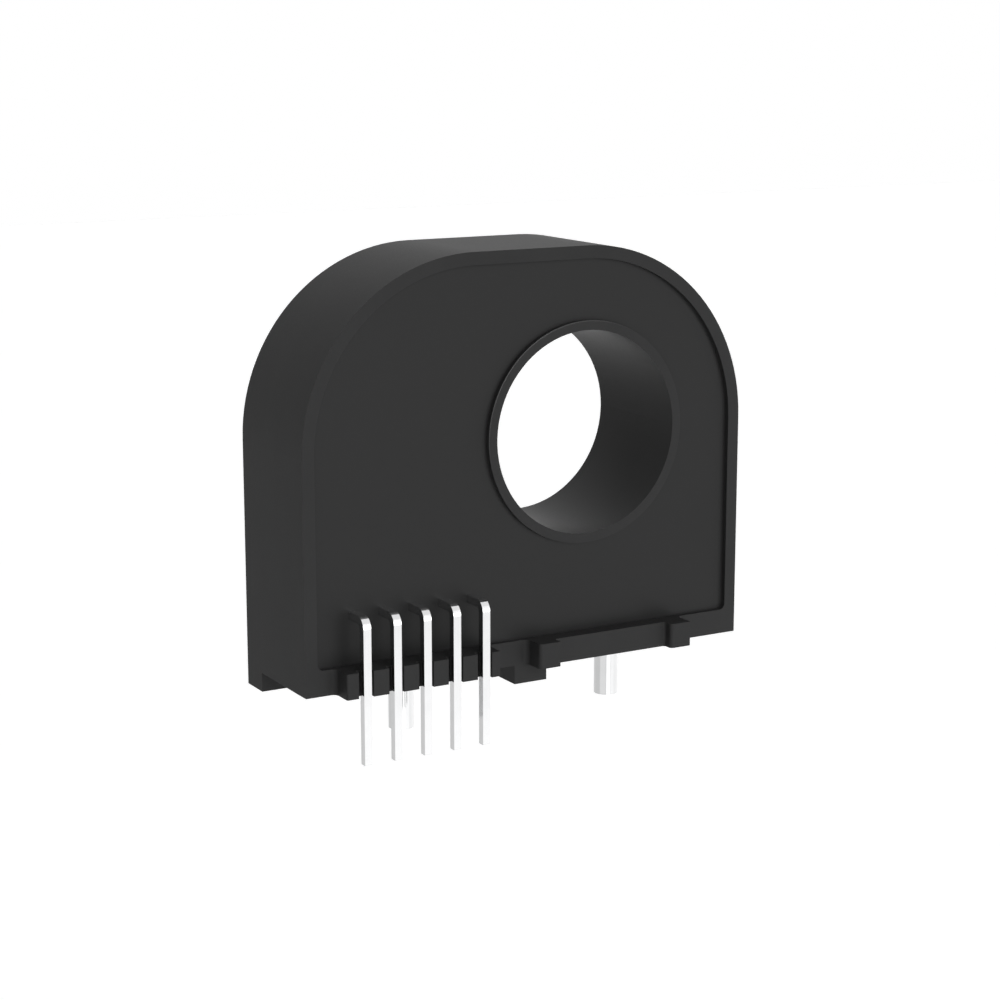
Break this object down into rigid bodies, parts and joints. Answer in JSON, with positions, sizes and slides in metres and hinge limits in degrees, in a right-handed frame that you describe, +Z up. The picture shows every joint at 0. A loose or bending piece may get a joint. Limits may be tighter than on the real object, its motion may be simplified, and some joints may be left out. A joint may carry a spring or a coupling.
{
  "type": "open-loop hall current sensor",
  "caption": "Arched black potted ring sensor for circuit boards, with a round aperture for a conductor and bent square terminals beside a comb.",
  "frame": {"origin": "on the axis of the round aperture, halfway through the body's depth", "axes": "+X to the right seen from the potted front, +Y from the front to the closed back along the aperture, +Z up, away from the board"},
  "size_m": [0.039, 0.0129, 0.0379],
  "materials": {
    "case_plastic": "black glass-filled moulding, fine matte grain",
    "potting_compound": "black cast epoxy, satin",
    "tinned_metal": "bright tin plate over copper alloy",
    "core_alloy": "coated soft magnetic alloy",
    "chip_mould": "moulded epoxy",
    "chip_leads": "tinned",
    "board_laminate": "green solder mask on glass laminate",
    "resistor_ceramic": "glazed chip",
    "capacitor_ceramic": "fired ceramic",
    "solder": "bright solder"
  },
  "bodies": {
    "root": {"case": "case_plastic", "potting_fill": "potting_compound", "magnetic_core": "core_alloy", "hall_element": "chip_mould", "hall_leads": "chip_leads", "circuit_board": "board_laminate", "amplifier": "chip_mould", "amplifier_leads": "chip_leads", "voltage_reference": "chip_mould", "reference_leads": "chip_leads", "resistor_1": "resistor_ceramic", "resistor_2": "resistor_ceramic", "resistor_3": "resistor_ceramic", "resistor_4": "resistor_ceramic", "capacitor_1": "capacitor_ceramic", "capacitor_2": "capacitor_ceramic", "capacitor_3": "capacitor_ceramic", "solder_joints": "solder", "terminal_1": "tinned_metal", "terminal_2": "tinned_metal", "terminal_3": "tinned_metal", "terminal_4": "tinned_metal", "terminal_5": "tinned_metal", "mounting_pin_left": "tinned_metal", "mounting_pin_right": "tinned_metal"}
  },
  "joints": []
}
